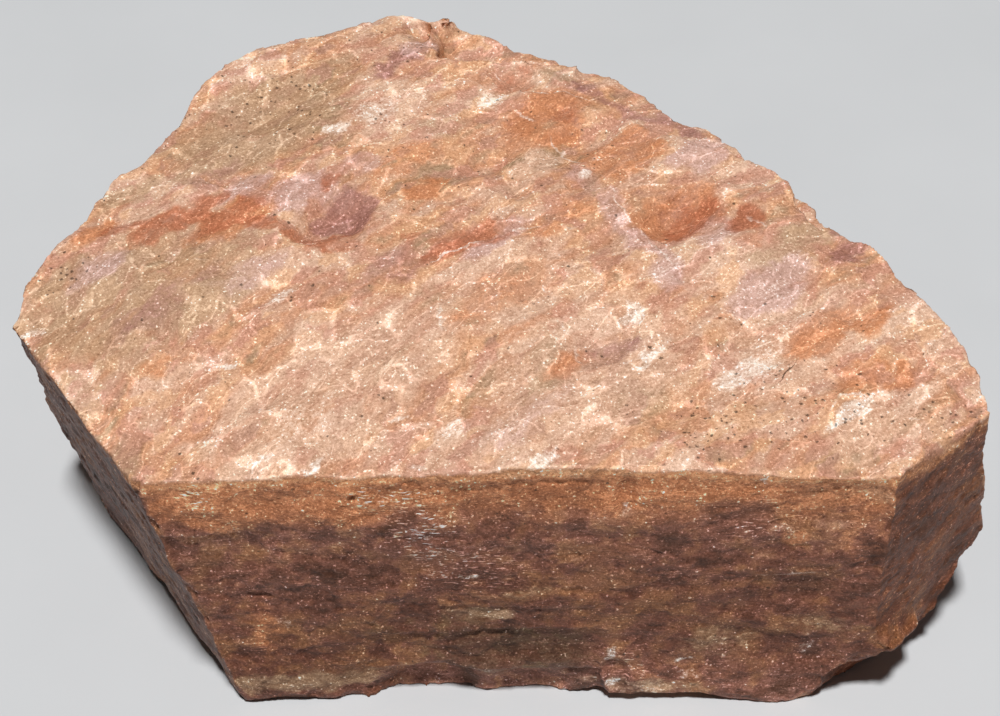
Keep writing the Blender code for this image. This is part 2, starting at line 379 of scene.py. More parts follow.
# Long cleavage steps in the front face: left end and right end as x and height, and how far the
# stone above the step stands out.
FRONT_STEPS = (
    ((-35.0, 27.2), (-23.0, 27.9), 0.45),
    ((-6.0, 35.6), (9.0, 35.8), 0.30),
    ((-14.0, 11.2), (10.0, 12.4), 0.50),
    ((-6.0, 16.2), (6.0, 15.6), 0.28),
    ((24.6, 20.9), (33.0, 21.9), 0.30),
    ((22.0, 13.0), (34.0, 11.0), 0.25),
)

# Shelly chips in the front face: centre as x and height, half width, half height, depth.
FRONT_CHIPS = (
    ((11.6, 33.4), 1.5, 3.2, 0.55),
    ((30.2, 19.0), 3.8, 2.4, 0.15),
    ((31.6, 32.4), 6.0, 4.0, 0.4),
    ((11.6, 4.4), 1.8, 3.4, 0.5),
    ((-14.4, 33.4), 0.6, 0.5, 0.5),
    ((-24.6, 17.8), 1.4, 0.7, 0.4),
)

# Thin plates split from the upper face: centre in plan, radius along the lamellae, radius across
# them, azimuth of the long radius, and depth.
TOP_PLATES = (
    ((9.4, -17.6), 6.4, 4.2, 75.0, 0.45),
    ((-16.6, -0.6), 5.4, 2.8, 50.0, 0.35),
    ((19.0, -1.2), 6.0, 2.6, 42.0, 0.30),
    ((25.2, -3.2), 2.6, 1.4, 40.0, 0.25),
    ((1.0, 12.4), 8.0, 5.2, 15.0, 0.35),
    ((-26.0, 13.0), 13.0, 6.0, 45.0, 0.3),
    ((2.0, 22.4), 5.0, 2.2, 150.0, 0.6),
    ((35.6, -7.6), 4.0, 1.9, 150.0, 0.5),
    ((28.0, -13.0), 6.0, 3.6, 30.0, 0.3),
)


def lattice_noise(points, seed):
    """Smooth noise between about -1 and 1, from a random slope at each whole-number point.

    Everywhere in this file, the last argument of a noise is its seed.
    """
    rng = np.random.default_rng(seed)
    order = rng.permutation(4096)
    slopes = rng.normal(size=(4096, 3))
    slopes /= np.linalg.norm(slopes, axis=1, keepdims=True)
    cell = np.floor(points).astype(np.int64)
    inside = points - cell
    fade = inside**3 * (inside * (inside * 6 - 15) + 10)
    weights = (1 - fade, fade)
    total = np.zeros(len(points))
    for i, j, k in itertools.product((0, 1), repeat=3):
        pick = shuffled(order, cell, (i, j, k))
        rise = np.einsum("ij,ij->i", slopes[pick], inside - (i, j, k))
        total += weights[i][:, 0] * weights[j][:, 1] * weights[k][:, 2] * rise
    return total * 1.5


def shuffled(order, cell, step):
    """A number from 0 to 4095 for each cell's neighbour at this step."""
    pick = order[(cell[:, 2] + step[2]) % 4096]
    pick = order[(cell[:, 1] + step[1] + pick) % 4096]
    return order[(cell[:, 0] + step[0] + pick) % 4096]


def facets(points, seed):
    """(height, random number, distance to the edge) of the tilted flat that holds each point."""
    rng = np.random.default_rng(seed)
    order = rng.permutation(4096)
    offset = rng.random((4096, 3))
    tilt = rng.normal(size=(4096, 3)) * 0.5
    chance = rng.random(4096)
    cell = np.floor(points).astype(np.int64)
    first, second = np.full((2, len(points)), np.inf)
    first_at, second_at = np.zeros((2, len(points), 3))
    height, number = np.zeros((2, len(points)))
    for step in itertools.product((-1, 0, 1), repeat=3):
        pick = shuffled(order, cell, step)
        middle = cell + step + offset[pick]
        away = points - middle
        distance = np.einsum("ij,ij->i", away, away)
        closer = distance < first
        between = ~closer & (distance < second)
        second[closer], second_at[closer] = first[closer], first_at[closer]
        second[between], second_at[between] = distance[between], middle[between]
        first[closer], first_at[closer] = distance[closer], middle[closer]
        pick = pick[closer]
        height[closer] = np.einsum("ij,ij->i", away[closer], tilt[pick]) + tilt[pick, 0]
        number[closer] = chance[pick]
    edge = (second - first) / (2 * np.linalg.norm(second_at - first_at, axis=1))
    return height, number, edge


def ramp(value, low, high):
    """0 at low, 1 at high, smooth between."""
    t = np.clip((value - low) / (high - low), 0, 1)
    return t * t * (3 - 2 * t)


def terraces(value, rise):
    """value rounded to flat levels, a rise apart, with steep risers."""
    level = np.floor(value / rise)
    return (level + ramp(value / rise - level, 0.5 - RISER, 0.5 + RISER)) * rise


def turned(x, y, azimuth):
    """(distance along this azimuth, distance across it)."""
    return x * math.cos(azimuth) + y * math.sin(azimuth), y * math.cos(azimuth) - x * math.sin(azimuth)


def ellipse(x, y, centre, long_radius, short_radius, azimuth):
    """1 at the centre, 0 on the ellipse, below 0 outside it."""
    along, across = turned(x - centre[0], y - centre[1], azimuth)
    return 1 - np.hypot(along / long_radius, across / short_radius)


def line_distance(x, y, points):
    """Distance to a line through these points."""
    best = np.full(len(x), np.inf)
    for (x0, y0), (x1, y1) in itertools.pairwise(points):
        dx, dy = x1 - x0, y1 - y0
        t = np.clip(((x - x0) * dx + (y - y0) * dy) / (dx * dx + dy * dy), 0, 1)
        best = np.minimum(best, np.hypot(x - x0 - t * dx, y - y0 - t * dy))
    return best


def line_fields(x, y, lines):
    """Two fields: the distance to the nearest of these lines over its half width, below 0 on one
    side of it, and a field that is 1 close to a line and 0 a little way off.
    """
    nearest = np.full(len(x), np.inf)
    sided = np.full(len(x), 9.0)
    for points, half_width in lines:
        for (x0, y0), (x1, y1) in itertools.pairwise(points):
            along, across = turned(x - x0, y - y0, math.atan2(y1 - y0, x1 - x0))
            length = math.hypot(x1 - x0, y1 - y0)
            away = np.hypot(across, along - np.clip(along, 0, length))
            closer = away < nearest
            nearest[closer] = away[closer]
            sided[closer] = (np.where(across < 0, -away, away) / half_width)[closer]
    return np.clip(sided, -20, 20), 1 - ramp(nearest, 0.8, 1.6)


class Surface:
    """The vertices of the stone's mesh, as arrays in millimetres, with what faces where."""

    def __init__(self, mesh):
        count = len(mesh.vertices)
        co = np.empty(count * 3)
        mesh.vertices.foreach_get("co", co)
        edges = np.empty(len(mesh.edges) * 2, np.int64)
        mesh.edges.foreach_get("vertices", edges)
        normals = np.empty(count * 3, np.float32)
        mesh.vertex_normals.foreach_get("vector", normals)
        self.co = co.reshape(-1, 3) / MM
        self.edges = edges.reshape(-1, 2)
        self.normal = normals.reshape(-1, 3).astype(float)
        self.degree = np.bincount(self.edges.ravel(), minlength=count)[:, None]
        broad = self.spread(self.normal, 10)
        # The normals of the form alone, without its fine relief.
        self.broad = broad / np.linalg.norm(broad, axis=1, keepdims=True)
        # From 0 to 1: how far each vertex belongs to the faces that look up, to those that look
        # down, to the three growth faces, and to the upper face with its worn rim.
        self.up = ramp(self.broad[:, 2], 0.55, 0.85)
        self.down = ramp(-self.broad[:, 2], 0.6, 0.9)
        self.growth = np.maximum.reduce([self.facing(azimuth) for azimuth in GROWTH_AZIMUTHS])
        high = ramp(self.co[:, 2], 18.0, 24.0)
        self.upper = high * ramp(self.spread(self.normal, 3)[:, 2], 0.15, 0.5)

    def facing(self, azimuth):
        """1 where the broad surface looks this way, whatever its slope."""
        length = np.linalg.norm(self.broad[:, :2], axis=1, keepdims=True)
        level = self.broad[:, :2] / np.maximum(length, 1e-6)
        return ramp(level[:, 0] * math.cos(azimuth) + level[:, 1] * math.sin(azimuth), 0.9, 0.96)

    def spread(self, values, rounds):
        """values averaged with their neighbours', this many times over."""
        for _ in range(rounds):
            total = np.zeros_like(values)
            np.add.at(total, self.edges[:, 0], values[self.edges[:, 1]])
            np.add.at(total, self.edges[:, 1], values[self.edges[:, 0]])
            values = 0.5 * values + 0.5 * total / self.degree
        return values

    def crest_light_and_groove_shade(self):
        """Above 0 on edges that stand out, below 0 in grooves."""
        mean = self.spread(self.co, 3)
        return np.sum((self.co - mean) * self.normal, axis=1)


def swirled(co, size, amount, seed):
    """Points pushed about by this much, in swirls of this size."""
    return co + amount * np.stack([lattice_noise(co / size, seed + i) for i in range(3)], 1)


def along_lamellae(co, lengths):
    """Points in which a pattern is this long along the lamellae, across them and upwards."""
    along, across = turned(co[:, 0], co[:, 1], LAMELLA_AZIMUTH)
    across += LAMELLA_BEND * along * along  # the lamellae curve a little over the face
    return np.stack([along, across, co[:, 2]], 1) / np.array(lengths)


def top_slabs(co):
    """The zones, some millimetres wide, that the upper face is a mosaic of."""
    return facets(along_lamellae(swirled(swirled(co, 5.0, 1.6, 41), 1.3, 0.35, 42), (7.5, 4.2, 6.0)), 43)


def top_flakes(co):
    """The small flakes of the upper face."""
    return facets(along_lamellae(swirled(co, 1.8, 0.7, 44), (2.6, 1.4, 2.0)), 45)


def side_slabs(co):
    """The zones of the side faces."""
    return facets(swirled(swirled(co, 4.0, 1.2, 46), 1.1, 0.4, 47) / np.array([4.6, 4.6, 3.0]), 48)


def side_flakes(co):
    """The small flakes of the side faces."""
    return facets(swirled(co, 1.4, 0.6, 49) / np.array([1.5, 1.5, 1.0]), 50)


def top_relief(co):
    """Lamella ridges, shallow plates and split-off patches of the upper face."""
    x, y = co[:, 0], co[:, 1]
    swayed = swirled(co, 6.0, 0.8, 1)
    ridges = 0.05 * lattice_noise(along_lamellae(swayed, (5.0, 0.95, 3.0)), 2)
    fine = 0.03 * lattice_noise(along_lamellae(swayed, (1.6, 0.5, 1.5)), 3)
    plates = terraces(0.5 * lattice_noise(along_lamellae(swayed, (8.0, 3.4, 9.0)), 4), 0.13)
    grain = 0.045 * lattice_noise(co / 0.6, 5)
    slabs = 0.10 * top_slabs(co)[0]
    flakes = 0.045 * top_flakes(co)[0]
    relief = ridges + fine + plates + grain + slabs + flakes
    ragged = 0.10 * lattice_noise(along_lamellae(co, (1.6, 1.0, 1.0)), 6) + 0.10 * lattice_noise(co / 3, 7)
    for centre, long_radius, short_radius, azimuth, depth in TOP_PLATES:
        inside = ellipse(x, y, centre, long_radius, short_radius, math.radians(azimuth)) + ragged
        relief -= depth * (0.6 * ramp(inside, 0.0, 0.09) + 0.4 * ramp(inside, 0.0, 0.9))
    return relief


def side_relief(co):
    """Faint level cleavage steps, flakes and grains of the flat side faces."""
    swayed = swirled(co, 5.0, 0.5, 11)
    swell = 0.12 * lattice_noise(co / 7.0, 16)
    steps = terraces(0.24 * lattice_noise(swayed / np.array([6.0, 6.0, 2.6]), 12), 0.09)
    streaks = 0.02 * lattice_noise(swayed / np.array([1.6, 1.6, 0.5]), 13)
    grain = 0.07 * lattice_noise(co / 0.65, 14)
    slabs = 0.07 * side_slabs(co)[0]
    flakes = 0.06 * side_flakes(co)[0]
    return swell + steps + streaks + grain + slabs + flakes


def front_relief(co):
    """The steps and chips that belong to the front face alone."""
    x, _, z = co.T
    relief = np.zeros(len(co))
    ragged = 0.25 * lattice_noise(co / 1.1, 21) + 0.35 * lattice_noise(co / 4.0, 22)
    for (x0, z0), (x1, z1), depth in FRONT_STEPS:
        line = z0 + (z1 - z0) * (x - x0) / (x1 - x0) + 0.8 * ragged
        ends = ramp(x, x0 - 1.5, x0 + 1.5) * (1 - ramp(x, x1 - 1.5, x1 + 1.5))
        below = ramp(line - z, -0.12, 0.12) * (1 - ramp(line - z, 2.5, 7.0))
        relief -= depth * ends * below
    for centre, half_width, half_height, depth in FRONT_CHIPS:
        inside = ellipse(x, z, centre, half_width, half_height, 0.0) + 0.35 * ragged
        relief -= depth * ramp(inside, 0.0, 0.5)
    return relief


def fracture_relief(co):
    """Hackly flats of the broken sides and the underside."""
    coarse = 0.14 * facets(co / 4.6, 31)[0]
    fine = 0.05 * facets(co / 1.5, 32)[0]
    steps = terraces(0.4 * lattice_noise(co / 5.0, 33), 0.2)
    grain = 0.05 * lattice_noise(co / 0.7, 34)
    return coarse + fine + steps + grain


def unevenness(surface, azimuth):
    """How far the flat face that looks this way stands off its mean plane at each vertex.

    It is 0 near the base, and where a chip or an edge takes the surface far from the plane.
    """
    there = surface.facing(azimuth) * (1 - surface.up) * (1 - surface.down)
    core = there > 0.99
    normal = surface.broad[core].mean(axis=0)
    reach = surface.co @ (normal / np.linalg.norm(normal))
    away = reach - np.median(reach[core])
    return there * away * (1 - ramp(np.abs(away), 0.7, 1.6)) * ramp(surface.co[:, 2], 4.0, 8.0)


def even_copy(node):
    """A copy of the solid's mesh, merged and remade of even cells."""
    bm = bmesh.new()
    bm.from_mesh(node.data)
    bmesh.ops.remove_doubles(bm, verts=bm.verts, dist=1e-7)
    mesh = bpy.data.meshes.new("merged")
    bm.to_mesh(mesh)
    bm.free()
    obj = bpy.data.objects.new("merged", mesh)
    bpy.context.scene.collection.objects.link(obj)
    remesh = obj.modifiers.new("even_cells", "REMESH")
    remesh.mode = "VOXEL"
    remesh.voxel_size = CELL * MM
    settle = obj.modifiers.new("settle", "SMOOTH")
    settle.factor = 0.5
    settle.iterations = 3
    return plain_mesh(obj, "even_cells")


def plain_mesh(obj, name):
    """The mesh that an object's modifiers give, and the object removed."""
    graph = bpy.context.evaluated_depsgraph_get()
    mesh = bpy.data.meshes.new_from_object(obj.evaluated_get(graph))
    mesh.name = name
    bpy.data.objects.remove(obj)
    return mesh


def weighed(weight, shape, co):
    """A shape's relief times its weight, worked out only where that isn't nothing."""
    relief = np.zeros(len(co))
    there = weight > 0
    relief[there] = weight[there] * shape(co[there])
    return relief


def put_relief(mesh):
    """Moves the mesh along its normals by the relief of each face, and keeps it above the table."""
    surface = Surface(mesh)
    co = surface.co
    side = (1 - surface.up) * (1 - surface.down)
    relief = weighed(surface.up, top_relief, co)
    relief += weighed(side * surface.growth, side_relief, co)
    relief += weighed(side * surface.facing(FRONT_AZIMUTH), front_relief, co)
    relief += weighed(side * (1 - surface.growth), fracture_relief, co)
    relief += np.minimum(weighed(0.5 * surface.down, fracture_relief, co), 0)
    for azimuth in GROWTH_AZIMUTHS:
        relief -= LEVELLING * unevenness(surface, azimuth)
    sharpness = np.sum((co - surface.spread(co, 14)) * surface.normal, axis=1)
    relief -= SKIN + EDGE_WEAR * ramp(sharpness, 0.25, 1.1)
    moved = co + surface.normal * relief[:, None]
    moved[:, 2] = np.maximum(moved[:, 2], 0.0)
    mesh.vertices.foreach_set("co", (moved * MM).ravel())
    mesh.update()


def thinned(mesh):
    """The mesh with flat stretches in fewer triangles."""
    obj = bpy.data.objects.new("thinned", mesh)
    bpy.context.scene.collection.objects.link(obj)
    fewer = obj.modifiers.new("fewer", "DECIMATE")
    fewer.ratio = min(1.0, TRIANGLES / sum(len(p.vertices) - 2 for p in mesh.polygons))
    return plain_mesh(obj, "crystal_surface")


def patch_fields(surface):
    """How strongly each colour asks for each vertex, from 0 to about 1, and the front's painted light and
    shade.
    """
    upper = surface.upper
    front = (1 - upper) * surface.facing(FRONT_AZIMUTH)
    x, y, _ = swirled(swirled(surface.co, 3.0, 1.3, 61), 1.0, 0.5, 64).T
    front_x, _, front_z = swirled(swirled(surface.co, 2.6, 0.9, 67), 0.9, 0.4, 70).T
    names = sorted({*TOP_PATCHES, *TOP_BANDS, *FRONT_PATCHES})  # glints ask for bright dashes
    fields = {name: np.zeros(len(x)) for name in names}
    for name, patches in TOP_PATCHES.items():
        for centre, long_radius, short_radius, strength in patches:
            radii = (long_radius * TOP_PATCH_REACH, short_radius * TOP_PATCH_REACH)
            inside = ellipse(x, y, centre, *radii, LAMELLA_AZIMUTH)
            fields[name] = np.maximum(fields[name], strength * upper * ramp(inside, 0.0, 0.55))
    for name, bands in TOP_BANDS.items():
        for points, half_width, strength in bands:
            inside = 1 - line_distance(x, y, points) / (half_width * TOP_BAND_REACH)
            fields[name] = np.maximum(fields[name], strength * upper * ramp(inside, 0.0, 0.7))
    for name, patches in FRONT_PATCHES.items():
        for centre, half_width, half_height, strength in patches:
            radii = (half_width * FRONT_PATCH_REACH, half_height * FRONT_PATCH_REACH)
            inside = ellipse(front_x, front_z, centre, *radii, 0.0)
            fields[name] = np.maximum(fields[name], strength * front * ramp(inside, 0.0, 0.6))
    fields["band"] = front * ramp(front_z + 1.5 * lattice_noise(surface.co / 3.0, 79), 28.0, 34.0)
    low_left = (1 - ramp(x, -16.0, -8.0)) * (1 - ramp(surface.co[:, 2], 6.0, 12.0))
    # Painted light and shade of the front face, by height and darker low at its left end.
    painted_height_shading = np.interp(surface.co[:, 2], *zip(*FRONT_PAINTED_SHADING))
    fields["shade"] = front * (painted_height_shading + LOW_LEFT_PAINTED_SHADE * low_left)
    return fields


def mark_fields(surface):
    """Where the seams and cracks run, and where the dark specks crowd."""
    x, y, _ = surface.co.T
    seam_x, seam_y, _ = swirled(swirled(surface.co, 2.4, 0.8, 73), 0.9, 0.35, 76).T
    seam, seam_near = line_fields(seam_x, seam_y, TOP_SEAMS)
    crack, crack_near = line_fields(x, y, TOP_CRACKS)
    dirt = np.zeros(len(x))
    for centre, radius, strength in SPECK_CLUSTERS:
        inside = ellipse(x, y, centre, radius, radius, 0.0)
        dirt = np.maximum(dirt, strength * surface.upper * np.clip(inside * 1.5, 0, 1))
    return {
        "seam": seam,
        "seam_near": seam_near * surface.upper,
        "crack": crack,
        "crack_near": crack_near * surface.upper,
        "dirt": dirt,
    }


def texture_fields(surface):
    """The broad part of the stone's mottling, the distances to the nearest zone edges in
    millimetres, and which way the surface looks, which carries the painted shade of the left and right
    faces.
    """
    co = surface.co
    upper = surface.upper
    _, slab, slab_edge = np.where(upper > 0.5, top_slabs(co), side_slabs(co))
    _, flake, flake_edge = np.where(upper > 0.5, top_flakes(co), side_flakes(co))
    swayed = swirled(co, 5.0, 1.2, 81)
    top_streak = lattice_noise(along_lamellae(swayed, (6.5, 1.9, 4.0)), 84)
    top_streak += 0.5 * lattice_noise(along_lamellae(swayed, (3.0, 0.9, 2.0)), 85)
    side_streak = lattice_noise(swayed / np.array([3.4, 3.4, 4.6]), 86)
    side_streak += 0.8 * lattice_noise(swayed / np.array([1.2, 1.2, 1.5]), 87)
    top_vein = lattice_noise(along_lamellae(swayed, (7.0, 2.8, 3.0)), 91)
    top_vein += 0.25 * lattice_noise(along_lamellae(co, (2.2, 1.2, 1.0)), 92)
    side_vein = lattice_noise(swayed / 2.4, 93) + 0.4 * lattice_noise(co / 0.9, 94)
    return {
        "slab": slab,
        "slab_edge": slab_edge * np.where(upper > 0.5, 4.2, 3.0),
        "flake": flake,
        "flake_edge": flake_edge * np.where(upper > 0.5, 1.4, 1.0),
        "streak": 0.5 + 0.5 * (side_streak + upper * (top_streak - side_streak)),
        "drift": 0.5 + 0.5 * lattice_noise(co / 11.0, 88),
        "gate": 0.5 + 0.5 * lattice_noise(co / 3.6, 89) + 0.25 * lattice_noise(co / 1.2, 90),
        "vein": side_vein + upper * (top_vein - side_vein),
        # the band of the sides just below the rim, painted with a warm glow and made lighter
        "rim": (1 - upper) * ramp(surface.spread(upper[:, None], 14)[:, 0], 0.01, 0.30),
        # the left face, painted darker as painted shade
        "left_face_painted_shade": (1 - upper) * surface.facing(LEFT_AZIMUTH),
        # the right face: russet in colour, and a little painted shade
        "rightward": (1 - upper) * surface.facing(RIGHT_AZIMUTH),
    }


def grain_points(surface):
    """Places in which the fine grain runs along the lamellae above and level on the sides."""
    top = along_lamellae(surface.co, (0.90, 0.48, 0.7))
    side = surface.co / np.array([0.8, 0.8, 0.42])
    return side + surface.upper[:, None] * (top - side)


def keep_fields(mesh):
    """Stores on the mesh what its material reads."""
    surface = Surface(mesh)
    fields = patch_fields(surface) | mark_fields(surface) | texture_fields(surface)
    fields["upward"] = surface.upper
    # Painted highlight on edges that stand out, painted shade in grooves.
    fields["crest_light_and_groove_shade"] = np.clip(surface.crest_light_and_groove_shade() * 8, -1, 1)  # full at an eighth of a millimetre
    for name, values in fields.items():
        mesh.attributes.new(name, "FLOAT", "POINT").data.foreach_set("value", values.astype(np.float32))
    places = grain_points(surface).astype(np.float32)
    mesh.attributes.new("grain", "FLOAT_VECTOR", "POINT").data.foreach_set("vector", places.ravel())


def add(tree, kind, inputs=None, **settings):
    """A node with its settings, and with its inputs set to values or joined to sockets."""
    node = tree.nodes.new(kind)
    for name, value in settings.items():
        setattr(node, name, value)
    for name, value in (inputs or {}).items():
        if isinstance(value, bpy.types.NodeSocket):
            tree.links.new(value, node.inputs[name])
        else:
            node.inputs[name].default_value = value
    return node


def number(tree, operation, first, second=0.0):
    return add(tree, "ShaderNodeMath", {0: first, 1: second}, operation=operation).outputs[0]


def soft_step(tree, value, low, high):
    """0 at low, 1 at high, smooth between."""
    settings = {"Value": value, "From Min": low, "From Max": high}
    return add(tree, "ShaderNodeMapRange", settings, interpolation_type="SMOOTHSTEP").outputs[0]


def blended(tree, factor, first, second):
    return add(tree, "ShaderNodeMix", {"Factor": factor, 6: first, 7: second}, data_type="RGBA").outputs[2]


def scaled(tree, vector, scale):
    return add(tree, "ShaderNodeVectorMath", {0: vector, "Scale": scale}, operation="SCALE").outputs[0]


def vectors(tree, operation, first, second):
    return add(tree, "ShaderNodeVectorMath", {0: first, 1: second}, operation=operation).outputs[0]


def lit(tree, tint, light):
    """A colour made lighter or darker by this many doublings, with its hue kept."""
    channels = [number(tree, "POWER", 2.0, product(tree, light, power)) for power in HUE_POWERS]
    times = add(tree, "ShaderNodeCombineXYZ", dict(zip("XYZ", channels))).outputs[0]
    return vectors(tree, "MINIMUM", vectors(tree, "MULTIPLY", tint, times), LIGHTEST)


def speckle(tree, points, size, detail, roughness=0.55):
    """Noise with patches about this wide, from 0 to 1."""
    inputs = {"Vector": points, "Scale": 1 / size, "Detail": detail, "Roughness": roughness}
    return add(tree, "ShaderNodeTexNoise", inputs).outputs["Fac"]


def colour(name):
    return (*COLOURS[name], 1.0)


def stored(tree, name):
    return add(tree, "ShaderNodeAttribute", attribute_name=name).outputs["Fac"]


def centred(tree, value):
    return number(tree, "SUBTRACT", value, 0.5)


def mixed_number(tree, factor, first, second):
    return add(tree, "ShaderNodeMix", {"Factor": factor, 2: first, 3: second}, data_type="FLOAT").outputs[0]


def product(tree, *values):
    total = values[0]
    for value in values[1:]:
        total = number(tree, "MULTIPLY", total, value)
    return total


def weighted(tree, *parts):
    """The sum of values, each times its weight."""
    total = product(tree, *parts[0])
    for value, weight in parts[1:]:
        total = number(tree, "ADD", total, product(tree, value, weight))
    return total


def banded(tree, value, bands):
    """Colours that follow each other as the value rises."""
    low, high = bands[0][0], bands[-1][0]
    ramp_node = add(tree, "ShaderNodeValToRGB")
    elements = ramp_node.color_ramp.elements
    while len(elements) < len(bands):
        elements.new(0.5)
    for element, (place, name) in zip(elements, bands):
        element.position = (place - low) / (high - low)
        element.color = colour(name)
    share = add(tree, "ShaderNodeMapRange", {"Value": value, "From Min": low, "From Max": high})
    tree.links.new(share.outputs[0], ramp_node.inputs[0])
    return ramp_node.outputs[0]


def scattered(tree, points, size, share, radius):
    """1 on small spots in a share of the cells of this size, 0 between them."""
    cells = add(tree, "ShaderNodeTexVoronoi", {"Vector": points, "Scale": 1 / size})
    chance, spread = add(tree, "ShaderNodeSeparateColor", {0: cells.outputs["Color"]}).outputs[0:2]
    picked = number(tree, "LESS_THAN", chance, share)
    own_radius = product(tree, number(tree, "ADD", spread, 0.4), radius)
    far = number(tree, "DIVIDE", cells.outputs["Distance"], own_radius)
    return product(tree, soft_step(tree, far, 1.0, 0.5), picked)


def stone_sockets(tree):
    """What the stone's colours are mixed from: fields kept on the mesh, and the finest noises."""
    names = ("upward", "rightward", "streak", "drift", "slab", "flake", "gate", "rim", "milk")
    stone = SimpleNamespace(**{name: stored(tree, name) for name in names})
    points = scaled(tree, add(tree, "ShaderNodeTexCoord").outputs["Object"], 1 / MM)
    grain = add(tree, "ShaderNodeAttribute", attribute_name="grain").outputs["Vector"]
    stone.thread = speckle(tree, grain, THREAD, 3.0, 0.6)
    stone.sugar = speckle(tree, points, SUGAR, 2.0, 0.8)
    waves = add(tree, "ShaderNodeTexNoise", {"Vector": points, "Scale": 1 / FRAY_WIDTH, "Detail": 1.0})
    stone.frayed = vectors(tree, "ADD", points, scaled(tree, waves.outputs["Color"], FRAY_DEPTH))
    stone.level = vectors(tree, "DIVIDE", points, DASH_SPACE)
    return stone


def ground_colour(tree, stone):
    """The stone's own colour: tan to pale peach above, browner on the sides, redder at the right."""
    mottling = weighted(
        tree,
        (stone.streak, 0.45),
        (stone.drift, 0.40),
        (stone.slab, 0.24),
        (stone.flake, 0.16),
        (stone.thread, 0.10),
    )
    side = banded(tree, mottling, SIDE_GROUND)
    tint = blended(tree, stone.upward, side, banded(tree, mottling, TOP_GROUND))
    tint = blended(tree, product(tree, stone.rightward, 0.5), tint, colour("russet"))
    turn = weighted(tree, (stone.flake, 1.0), (stone.thread, 0.5), (stone.gate, 0.3))
    honeyed = product(tree, soft_step(tree, turn, 0.95, 1.35), stone.upward, 0.55)
    tint = blended(tree, honeyed, tint, colour("honey"))
    rosy = product(tree, soft_step(tree, turn, 0.85, 0.45), stone.upward, 0.50)
    tint = blended(tree, rosy, tint, colour("rose"))
    return blended(tree, product(tree, stored(tree, "band"), 0.75), tint, colour("orange"))


def with_patches(tree, stone, tint):
    """A colour with the patches laid over it, each with a ragged edge, and a warm painted glow below the
    rim.
    """
    ragged = weighted(
        tree,
        (stone.streak, 0.5),
        (stone.thread, 0.9),
        (stone.flake, 0.3),
        (stone.slab, 0.3),
        (stone.gate, 0.5),
    )
    for name, depth in PATCH_DEPTHS.items():
        field = stored(tree, name)
        asked = soft_step(tree, number(tree, "ADD", field, ragged), 1.3, 2.3)
        mask = product(tree, asked, soft_step(tree, field, 0.0, 0.45), depth)
        tint = blended(tree, mask, tint, colour(name))
    # Painted glow: the band below the rim is given a warm colour, as of light passing through the edge.
    painted_rim_glow = product(tree, stone.rim, soft_step(tree, stone.thread, 0.25, 0.55), 0.8)
    return blended(tree, painted_rim_glow, tint, colour("rim_glow_amber"))


def line_mask(tree, stone, name, outside, inside):
    """1 on the lines of this field and 0 beside them, with the grain making them wander."""
    wander = product(tree, centred(tree, stone.thread), 5.0)
    away = number(tree, "ABSOLUTE", number(tree, "ADD", stored(tree, name), wander))
    return product(tree, soft_step(tree, away, outside, inside), stored(tree, name + "_near"))


def chalk_mask(tree, stone):
    """Chalky white patches, some of them painted glints, and thin pale seams."""
    chalk = weighted(tree, (stone.milk, 1.0), (stone.thread, 0.9), (stone.sugar, 0.5), (stone.flake, 0.25))
    chalk = product(tree, soft_step(tree, chalk, 1.25, 1.95), soft_step(tree, stone.milk, 0.0, 0.3))
    seam = line_mask(tree, stone, "seam", 1.6, 0.2)
    seam = product(tree, seam, soft_step(tree, stone.gate, 0.38, 0.62), 0.6)
    return number(tree, "MAXIMUM", chalk, seam)


def rims_mask(tree, stone):
    """Pale rims of the slabs and flakes, and fine pale veins."""
    ragged = product(tree, centred(tree, stone.thread), 0.5)
    slab_rim = soft_step(tree, number(tree, "ADD", stored(tree, "slab_edge"), ragged), 0.20, 0.02)
    slab_rim = product(tree, slab_rim, soft_step(tree, stone.gate, 0.36, 0.56))
    flake_rim = soft_step(tree, number(tree, "ADD", stored(tree, "flake_edge"), ragged), 0.14, 0.02)
    flake_rim = product(tree, flake_rim, soft_step(tree, stone.gate, 0.40, 0.20), 0.6)
    vein = weighted(tree, (stored(tree, "vein"), 1.0), (stone.thread, 0.10), (stone.sugar, 0.06))
    vein = soft_step(tree, number(tree, "ABSOLUTE", vein), 0.055, 0.005)
    vein = product(tree, vein, soft_step(tree, stone.gate, 0.30, 0.55), 0.7)
    rims = number(tree, "MAXIMUM", slab_rim, number(tree, "MAXIMUM", flake_rim, vein))
    return product(tree, rims, mixed_number(tree, stone.upward, 0.25, 1.0))


def painted_glint_mask(tree, stone, rims, chalk):
    """Painted glints: tiny bright flakes of colour, thickest on pale rims and chalky patches."""
    crowd = weighted(tree, (rims, 0.4), (chalk, 0.4), (soft_step(tree, stone.gate, 0.4, 0.8), 0.15))
    crowd = number(tree, "ADD", crowd, 0.09)
    radius = weighted(tree, (stone.sugar, 0.8), (stone.thread, -0.1))
    return scattered(tree, stone.frayed, PAINTED_GLINT_CELL, crowd, radius)


def dash_mask(tree, stone):
    """Bright level dashes, where a cleavage edge of the front face catches the light."""
    dash = soft_step(tree, speckle(tree, stone.level, 1.0, 2.0), 0.58, 0.67)
    crowd = soft_step(tree, stone.gate, 0.4, 0.8)
    return product(tree, dash, weighted(tree, (stored(tree, "glints"), 2.0), (crowd, 0.8)))


def dark_mask(tree, stone):
    """Dark specks and open cracks."""
    crowd = number(tree, "ADD", product(tree, stored(tree, "dirt"), 0.40), 0.02)
    radius = weighted(tree, (stone.sugar, 1.0), (stone.thread, -0.3))
    speck = scattered(tree, stone.frayed, SPECK_CELL, crowd, radius)
    return number(tree, "MAXIMUM", speck, line_mask(tree, stone, "crack", 1.4, 0.6))


